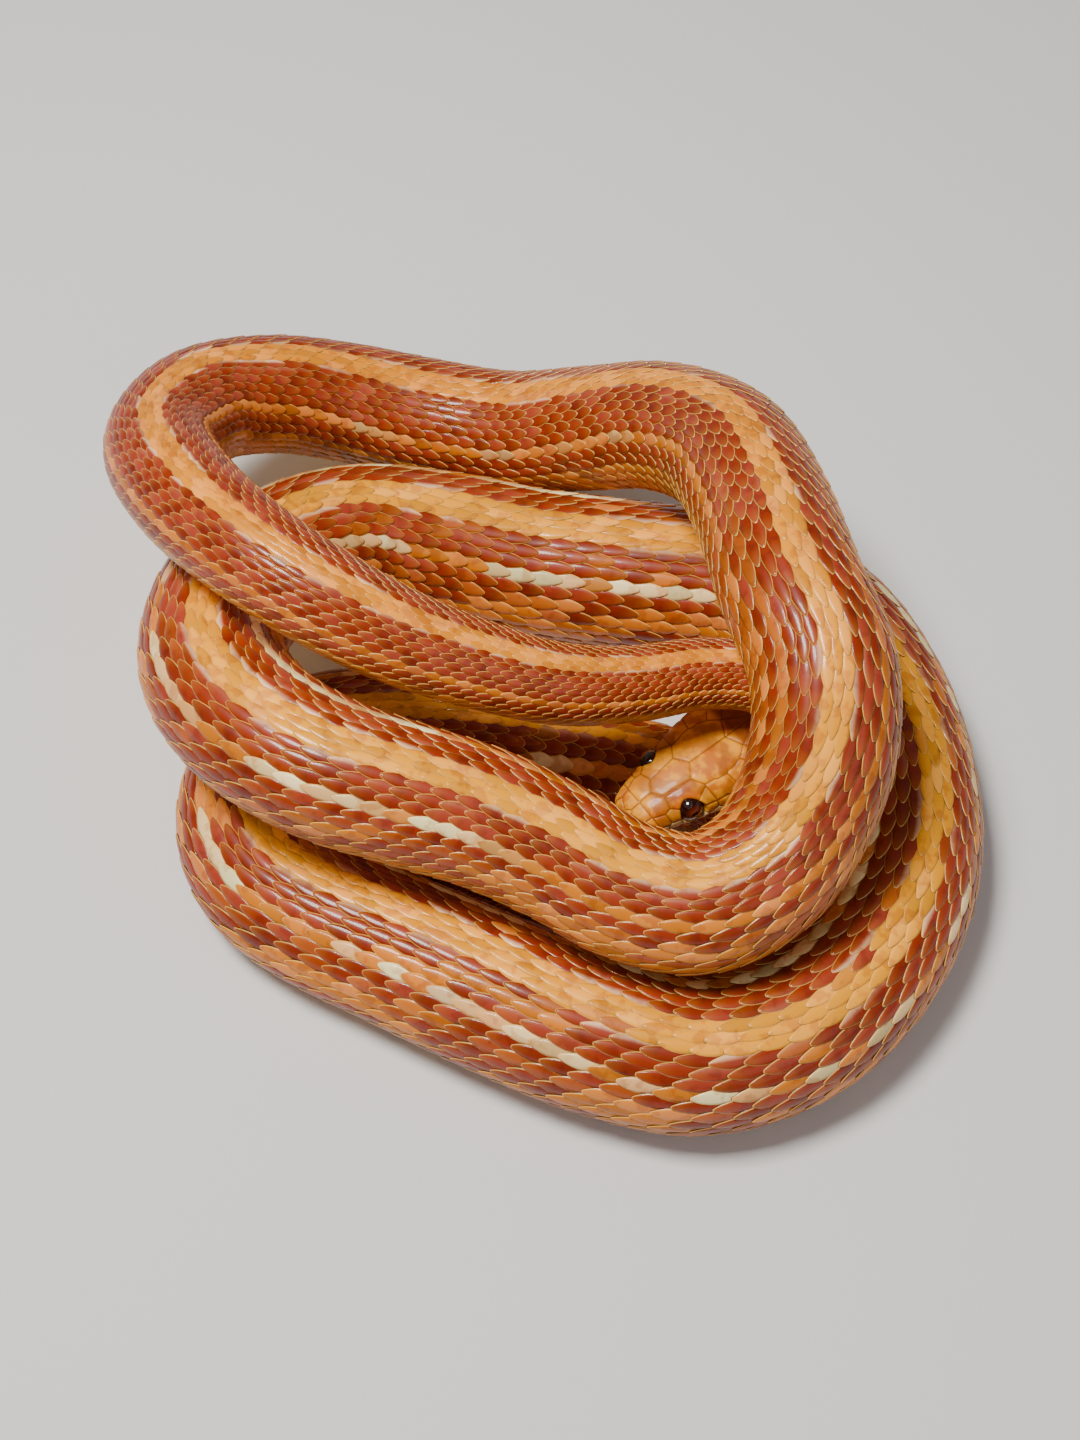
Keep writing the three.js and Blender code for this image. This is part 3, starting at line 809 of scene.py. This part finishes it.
def markings_and_painted_light_group():
    """The corn snake's markings, with painted shade and painted highlights on the scales, from each scale's
    place on the body and each point's place on it.
    """
    tree = bpy.data.node_groups.new("markings_and_painted_light", "ShaderNodeTree")
    face = tree.interface
    for name in ("Place", "Form", "Grain"):
        face.new_socket(name, in_out="INPUT", socket_type="NodeSocketVector")
    face.new_socket("Color", in_out="OUTPUT", socket_type="NodeSocketColor")
    entry = tree.nodes.new("NodeGroupInput")
    leave = tree.nodes.new("NodeGroupOutput")
    s, row, tone = parts_of(tree, entry.outputs["Place"])
    u, v, edge = parts_of(tree, entry.outputs["Form"])
    hand = maths(tree, "SIGN", row)
    away = maths(tree, "ABSOLUTE", row)

    # the stripe's border steps in and out by a row, differently on the two sides
    wander = noise(tree, spot(tree, times(tree, s, 0.05), times(tree, hand, 7.0)), 2.0)
    wander = maths(tree, "SUBTRACT", wander, 0.5)
    shift = times(tree, wander, ranged(tree, s, 380.0, 620.0, 0.7, 2.0))
    jitter = times(tree, maths(tree, "SUBTRACT", tone, 0.5), 0.5)
    spread = maths(tree, "ADD", maths(tree, "ADD", away, shift), jitter)
    across = maths(tree, "DIVIDE", maths(tree, "MAXIMUM", spread, 0.0), RAMP_ROWS)

    # the pale line along the side comes and goes
    broken = noise(tree, spot(tree, times(tree, s, 0.055), hand), 2.0)
    sides = maths(tree, "ADD", ranged(tree, s, 175.0, 190.0), ranged(tree, s, 275.0, 255.0))
    there = maths(tree, "MAXIMUM", maths(tree, "SUBTRACT", sides, 1.0), ranged(tree, s, 375.0, 400.0))
    shown = times(tree, ranged(tree, broken, 0.42, 0.56), there)

    def banded(stops):
        plain, lined = (
            ramp(tree, across, [(rows / RAMP_ROWS, colour) for rows, colour in stops(pale)])
            for pale in (GOLD, CREAM)
        )
        return mixed(tree, shown, plain, lined)

    base = mixed(tree, ranged(tree, s, 270.0, 350.0), banded(fore_stops), banded(middle_stops))

    # checks of red on the golden flanks
    patch_at = spot(tree, times(tree, s, 0.085), times(tree, row, 0.42), times(tree, tone, 0.35))
    patches = ranged(tree, noise(tree, patch_at, 1.0), 0.50, 0.54)
    low = times(tree, ranged(tree, away, 6.0, 7.5), ranged(tree, away, 14.5, 13.0))
    low = times(tree, low, ranged(tree, s, 250.0, 420.0, 0.45, 1.0))
    base = mixed(tree, times(tree, patches, low), base, RED)

    # some scales in the red bands are golden on the rear body
    strays_at = spot(tree, times(tree, s, 0.11), times(tree, row, 0.5), tone)
    strays = ranged(tree, noise(tree, strays_at, 1.0), 0.60, 0.63)
    band = times(tree, ranged(tree, away, 1.5, 2.5), ranged(tree, away, 6.5, 5.0))
    band = times(tree, band, ranged(tree, s, 380.0, 600.0))
    base = mixed(tree, times(tree, strays, band), base, GOLD)

    # whitish flecks on the scales beside the stripe, on the half that faces it
    beside = times(tree, ranged(tree, away, 1.2, 1.9), ranged(tree, away, 3.2, 2.2))
    inner = ranged(tree, times(tree, v, times(tree, hand, -1.0)), -0.1, 0.75)
    patchy = ranged(tree, noise(tree, entry.outputs["Place"], 1.0, 0.9), 0.50, 0.62)
    fleck = times(tree, times(tree, beside, inner), patchy)
    base = mixed(tree, times(tree, fleck, 0.8), base, LAVENDER)

    # each scale has a fine grain, its own tone, a paler rear over painted shade at its front, a thin rim
    # that is partly a painted highlight, and painted shade in the gaps
    grain = ranged(tree, noise(tree, entry.outputs["Grain"], 2.0, 420.0), 0.50, 0.62)
    tinted = mixed(tree, 1.0, base, GRAIN_TINT, "MULTIPLY")
    base = mixed(tree, times(tree, grain, 0.55), base, tinted)
    value = maths(tree, "MULTIPLY_ADD", tone, 0.55, 0.72)
    saturation = maths(tree, "MULTIPLY_ADD", tone, -0.1, 1.05)
    toned = add(tree, "ShaderNodeHueSaturation", {"Value": value, "Saturation": saturation, "Color": base})
    # painted shade: each scale is kept darker at its front, where the scale ahead overlaps it, and paler
    # towards its rear
    front_shaded = mixed(tree, times(tree, ranged(tree, u, 0.45, 1.0), 0.16), toned.outputs[0], UNSHADED_REAR_GOLD)
    # the thin pale rim: partly pale skin, partly a painted highlight on the scale's edge
    rim_skin_and_highlight = mixed(tree, times(tree, ranged(tree, edge, 0.80, 0.96), 0.72), front_shaded, RIM_SKIN_AND_HIGHLIGHT)
    # painted shade: the turned-down borders and the skin between scales are painted dark
    dark_lines = mixed(tree, ranged(tree, edge, 0.99, 1.2), rim_skin_and_highlight, GAP_SHADE)
    set_inputs(tree, leave, {"Color": dark_lines})


def new_material(name):
    """A material with one shader on its output."""
    material = bpy.data.materials.new(name)
    material.use_nodes = True
    tree = material.node_tree
    tree.nodes.clear()
    shader = tree.nodes.new("ShaderNodeBsdfPrincipled")
    add(tree, "ShaderNodeOutputMaterial", {0: shader.outputs[0]})
    return material, tree, shader


def attribute(tree, name):
    settings = {"attribute_name": name, "attribute_type": "GEOMETRY"}
    return add(tree, "ShaderNodeAttribute", {}, **settings).outputs["Vector"]


def object_place(tree):
    return tree.nodes.new("ShaderNodeTexCoord").outputs["Object"]


def fine_bump(tree, scale, strength, distance):
    values = {
        "Height": noise(tree, object_place(tree), 3.0, scale), "Strength": strength, "Distance": distance,
    }
    return add(tree, "ShaderNodeBump", values).outputs[0]


def scale_material():
    """The markings, with their painted shade and painted highlights, under the soft sheen of dry scales."""
    tree, shader = new_material("scaled_skin")[1:]
    markings_and_painted_light = add(tree, "ShaderNodeGroup", {}, node_tree=bpy.data.node_groups["markings_and_painted_light"])
    set_inputs(tree, markings_and_painted_light, {
        "Place": attribute(tree, "place"), "Form": attribute(tree, "form"), "Grain": object_place(tree),
    })
    set_inputs(tree, shader, {
        "Base Color": markings_and_painted_light.outputs["Color"], "Roughness": 0.42, "Specular IOR Level": 0.22,
        "Coat Weight": 0.3, "Coat Roughness": 0.12, "Normal": fine_bump(tree, 2600.0, 0.12, 0.00006),
    })


def head_material():
    """Golden shields mottled with orange, thin brown seams, pale lips and a brown nape, with painted shade
    in the mouth's line, the nostrils and the eye sockets.
    """
    tree, shader = new_material("head_shields")[1:]
    tone, edge, lip = parts_of(tree, attribute(tree, "shield"))
    b, around, recess_shade = parts_of(tree, attribute(tree, "site"))
    mottle = noise(tree, object_place(tree), 3.0, 300.0, 0.62)
    blotch = noise(tree, object_place(tree), 2.0, 190.0)
    gold = mixed(tree, ranged(tree, mottle, 0.42, 0.58), SHIELD_GOLD, SHIELD_ORANGE)
    gold = mixed(tree, times(tree, ranged(tree, blotch, 0.52, 0.60), 0.75), gold, SHIELD_RUST)
    gold = mixed(tree, times(tree, tone, 0.3), gold, SHIELD_PALE)
    nape = times(tree, ranged(tree, b, 19.6, 21.2), ranged(tree, around, 0.40, 0.28))
    gold = mixed(tree, times(tree, nape, 0.85), gold, NAPE_BROWN)
    gold = mixed(tree, ranged(tree, around, 0.42, 0.54), gold, CHEEK_GOLD)
    pale = mixed(tree, ranged(tree, mottle, 0.5, 0.62), LIP_CREAM, LIP_GOLD)
    coloured = mixed(tree, lip, gold, pale)
    dark_lines = mixed(tree, times(tree, ranged(tree, edge, 0.16, 0.04), 0.75), coloured, SHIELD_SEAM)
    # the mouth's line, the nostril and the socket are painted dark as shade
    set_inputs(tree, shader, {
        "Base Color": mixed(tree, times(tree, recess_shade, 0.9), dark_lines, SHADE_IN_RECESSES), "Roughness": 0.45,
        "Specular IOR Level": 0.2, "Coat Weight": 0.12, "Coat Roughness": 0.12,
        "Normal": fine_bump(tree, 2200.0, 0.15, 0.00008),
    })


def eye_material():
    """Dark red-brown iris round a round black pupil, under a clear gloss."""
    tree, shader = new_material("eye_glass")[1:]
    iris = ramp(tree, parts_of(tree, attribute(tree, "gaze"))[0], [
        (0.0, (0.012, 0.003, 0.002)), (0.24, (0.016, 0.004, 0.002)), (0.29, (0.22, 0.03, 0.004)),
        (0.42, (0.14, 0.018, 0.003)), (0.56, (0.06, 0.008, 0.002)), (0.66, (0.015, 0.004, 0.003)),
    ])
    set_inputs(tree, shader, {
        "Base Color": iris, "Roughness": 0.12, "Coat Weight": 1.0, "Coat Roughness": 0.03,
    })


def head_point(b, out, up):
    """A place in the head's own directions: behind the snout's tip, out to the left, up."""
    return centre[0] + ahead[0] * b + side[0] * out + back[0] * up


def make_eye(name, sign):
    """An eyeball with its iris facing outwards and a little forwards."""
    axis = side[0] * sign - ahead[0] * 0.10 + back[0] * 0.12
    axis /= np.linalg.norm(axis)
    middle = (head_point(EYE["back"], EYE["out"] * sign, EYE["up"]) + SHIFT) * MM
    turn = Vector(axis).to_track_quat("Z", "Y").to_matrix().to_4x4()
    shape = bmesh.new()
    place = Matrix.Translation(middle) @ turn
    bmesh.ops.create_uvsphere(shape, u_segments=64, v_segments=48, radius=EYE["radius"] * MM, matrix=place)
    for face in shape.faces:
        face.smooth = True
    mesh = bpy.data.meshes.new(name)
    shape.to_mesh(mesh)
    shape.free()
    gaze = mesh.attributes.new("gaze", "FLOAT_VECTOR", "POINT")
    for point, entry in zip(mesh.vertices, gaze.data):
        out = (point.co - Vector(middle)).normalized().dot(Vector(axis))
        entry.vector = (math.acos(max(-1, min(1, out))) / math.pi * 2, 0, 0)
    eye = bpy.data.objects.new(name, mesh)
    bpy.context.scene.collection.objects.link(eye)
    mesh.materials.append(bpy.data.materials["eye_glass"])
    return eye


# Where the scales part into pieces along the body
PIECE_CUTS = [-30, 62, 186, 300, 398, 500, 615, 722, 806, 2000]


def make_coat():
    """The scales in pieces along the body, then the belly's plates."""
    rng = np.random.default_rng(7)
    table = make_dorsal_scales(rng)
    table = table[np.argsort(table[:, 0])]
    batches = []
    for number, (low, high) in enumerate(zip(PIECE_CUTS[:-1], PIECE_CUTS[1:])):
        part = table[(table[:, 0] >= low) & (table[:, 0] < high)]
        batches.append((f"scales_{number + 1}", scale_batch(*part.T)))
    batches.append(("belly_plates", make_ventral_plates(rng)))
    pieces = []
    for name, (points, faces, place, form, uv) in batches:
        piece = make_mesh(name, points, faces, {"place": place, "form": form}, uv)
        piece.data.materials.append(bpy.data.materials["scaled_skin"])
        pieces.append(piece)
    return pieces


FLESH = [
    "head", "lower_jaw", "neck", "body_1_fore", "body_2_far_left_bend", "body_3_far_side",
    "body_4_right_corner", "body_5_right_side", "body_6_inner_loop", "body_7_near_side",
    "body_8_near_left_bend", "body_9_middle", "body_10_outer_right", "body_11_outer_corner",
    "body_12_outer_near", "body_13_low_left_bend", "body_14_rump", "tail_base", "tail_tip",
]


CAMERA_BACK, CAMERA_UP, CAMERA_TILT = 0.1585, 0.2865, 30


def make_stage():
    """A plain pale floor, soft lights and the camera above the near side."""
    bpy.ops.mesh.primitive_plane_add(size=4.0, location=(0, 0, -0.0002))
    floor = bpy.context.object
    floor.name = "floor"
    material, tree, shader = new_material("floor_paper")
    set_inputs(tree, shader, {"Base Color": (0.78, 0.77, 0.75, 1), "Roughness": 0.8})
    floor.data.materials.append(material)

    def lamp(name, size, power, place, colour):
        data = bpy.data.lights.new(name, "AREA")
        data.size = size
        data.energy = power
        data.color = colour
        lamp_object = bpy.data.objects.new(name, data)
        lamp_object.location = place
        lamp_object.rotation_euler = (-Vector(place)).to_track_quat("-Z", "Y").to_euler()
        bpy.context.scene.collection.objects.link(lamp_object)

    lamp("key", 0.14, 4.4, (-0.16, -0.02, 0.56), (1.0, 0.97, 0.92))
    lamp("fill", 0.5, 0.8, (0.45, -0.45, 0.45), (0.94, 0.97, 1.0))
    world = bpy.data.worlds.new("air")
    world.use_nodes = True
    air = world.node_tree
    set_inputs(air, air.nodes["Background"], {"Color": (0.92, 0.95, 1.0, 1), "Strength": 0.21})
    bpy.context.scene.world = world

    data = bpy.data.cameras.new("camera")
    data.lens = 50
    data.sensor_width = 36
    data.clip_start = 0.01
    camera = bpy.data.objects.new("camera", data)
    camera.location = (SHIFT[0] * MM, -CAMERA_BACK + SHIFT[1] * MM, CAMERA_UP)
    camera.rotation_euler = (math.radians(CAMERA_TILT), 0, 0)
    bpy.context.scene.collection.objects.link(camera)
    bpy.context.scene.camera = camera


markings_and_painted_light_group()
scale_material()
head_material()
eye_material()

skin = make_skin()
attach(skin, "root")
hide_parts(*FLESH)
for piece in make_coat():
    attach(piece, "root")
for eye_name, eye_sign, node in (("eyeball_left", 1, "eye_left"), ("eyeball_right", -1, "eye_right")):
    eyeball = make_eye(eye_name, eye_sign)
    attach(eyeball, "root")
    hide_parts(node)
make_stage()
